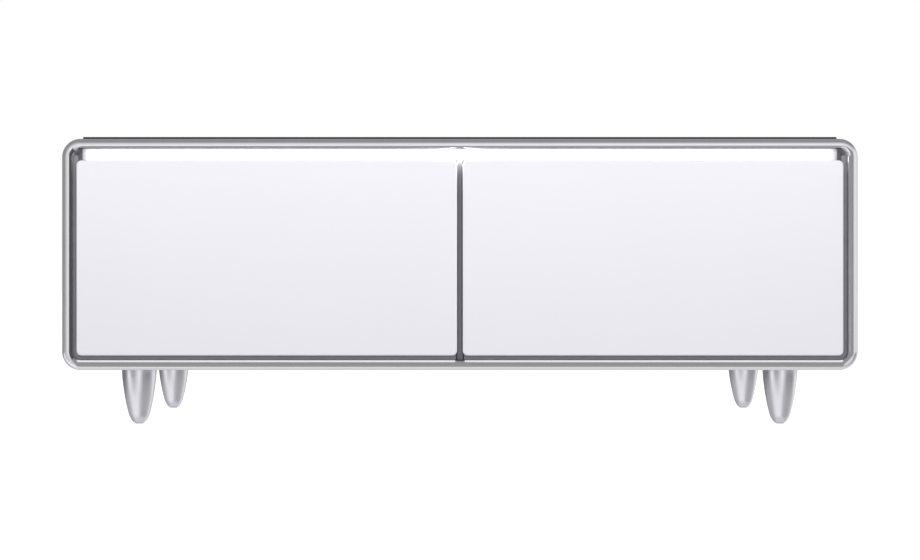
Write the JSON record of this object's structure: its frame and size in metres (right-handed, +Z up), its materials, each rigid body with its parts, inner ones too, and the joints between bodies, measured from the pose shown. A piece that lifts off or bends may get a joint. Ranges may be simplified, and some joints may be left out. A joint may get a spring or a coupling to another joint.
{
  "type": "refrigerator coffee table",
  "caption": "Low coffee table on bullet legs with a black glass top, a rounded silver metal frame and two white refrigerated drawers on telescopic slides.",
  "frame": {"origin": "on the floor, under the middle of the table", "axes": "+X to the viewer's right along the table, +Y from the drawer fronts to the back, +Z up"},
  "size_m": [1.3, 0.65, 0.4773],
  "materials": {
    "wrap_paint": "satin silver powder coat",
    "bezel_aluminium": "polished and clear anodised",
    "leg_metal": "satin-polished plating",
    "white_glass": "white glass painted on its back, polished round edge",
    "black_glass": "black glass painted on its back",
    "light_diffuser": "frosted, lit from inside",
    "grey_steel": "satin grey paint",
    "zinc_steel": "zinc-plated",
    "black_steel": "black enamel",
    "inner_plastic": "satin white polystyrene",
    "foam": "rigid polyurethane foam",
    "gasket_rubber": "matte grey",
    "black_plastic": "matte black",
    "copper": "drawn copper pipe",
    "cold_aluminium": "roll-bonded, satin"
  },
  "bodies": {
    "cabinet": {"cabinet_wrap": "wrap_paint", "front_bezel": "bezel_aluminium", "face_frame": "grey_steel", "centre_mullion": "grey_steel", "light_bar_channel": "zinc_steel", "light_bar_diffuser": "light_diffuser", "glass_top": "black_glass", "touch_module": "black_plastic", "insulation_foam": "foam", "bulkhead": "zinc_steel", "rear_cover": "wrap_paint", "cord_gland": "black_plastic", "compressor_tray": "zinc_steel", "compressor": "black_steel", "fan_baffle": "zinc_steel", "condenser_coil": "copper", "discharge_pipe": "copper", "suction_pipe": "copper", "filter_drier": "copper", "condenser_plate_left": "zinc_steel", "condenser_plate_right": "zinc_steel", "control_box": "black_plastic", "fan_frame": "black_plastic", "leg_front_left": "leg_metal", "leg_front_right": "leg_metal", "leg_rear_left": "leg_metal", "leg_rear_right": "leg_metal", "leg_glide_front_left": "black_plastic", "leg_glide_front_right": "black_plastic", "leg_glide_rear_left": "black_plastic", "leg_glide_rear_right": "black_plastic", "nut_plate_front_left": "zinc_steel", "nut_plate_front_right": "zinc_steel", "nut_plate_rear_left": "zinc_steel", "nut_plate_rear_right": "zinc_steel", "liner_left": "inner_plastic", "liner_right": "inner_plastic", "cold_plate_left": "cold_aluminium", "cold_plate_right": "cold_aluminium", "slide_left_outboard_outer": "zinc_steel", "slide_left_inboard_outer": "zinc_steel", "slide_right_outboard_outer": "zinc_steel", "slide_right_inboard_outer": "zinc_steel"},
    "drawer_left": {"drawer_left_front": "white_glass", "drawer_left_core": "inner_plastic", "drawer_left_gasket": "gasket_rubber", "drawer_left_bin": "inner_plastic", "slide_left_outboard_inner": "zinc_steel", "slide_left_inboard_inner": "zinc_steel"},
    "slide_middles_left": {"slide_left_outboard_middle": "zinc_steel", "slide_left_inboard_middle": "zinc_steel"},
    "drawer_right": {"drawer_right_front": "white_glass", "drawer_right_core": "inner_plastic", "drawer_right_gasket": "gasket_rubber", "drawer_right_bin": "inner_plastic", "slide_right_outboard_inner": "zinc_steel", "slide_right_inboard_inner": "zinc_steel"},
    "slide_middles_right": {"slide_right_outboard_middle": "zinc_steel", "slide_right_inboard_middle": "zinc_steel"},
    "fan": {"fan_rotor": "black_plastic"}
  },
  "joints": [
    {"name": "drawer_left_travel", "type": "slide", "parent": "cabinet", "child": "drawer_left", "axis": [0, -1, 0], "range_m": [0, 0.32]},
    {"name": "slide_middles_left_travel", "type": "slide", "parent": "cabinet", "child": "slide_middles_left", "axis": [0, -1, 0], "range_m": [0, 0.16]},
    {"name": "drawer_right_travel", "type": "slide", "parent": "cabinet", "child": "drawer_right", "axis": [0, -1, 0], "range_m": [0, 0.32]},
    {"name": "slide_middles_right_travel", "type": "slide", "parent": "cabinet", "child": "slide_middles_right", "axis": [0, -1, 0], "range_m": [0, 0.16]},
    {"name": "fan_spin", "type": "hinge", "parent": "cabinet", "child": "fan", "pos_m": [-0.2792, 0.2348, 0.285], "axis": [1, 0, 0], "continuous": true}
  ],
  "couplings": [
    {"joint": "slide_middles_left_travel", "follows": "drawer_left_travel", "ratio": 0.5},
    {"joint": "slide_middles_right_travel", "follows": "drawer_right_travel", "ratio": 0.5}
  ]
}
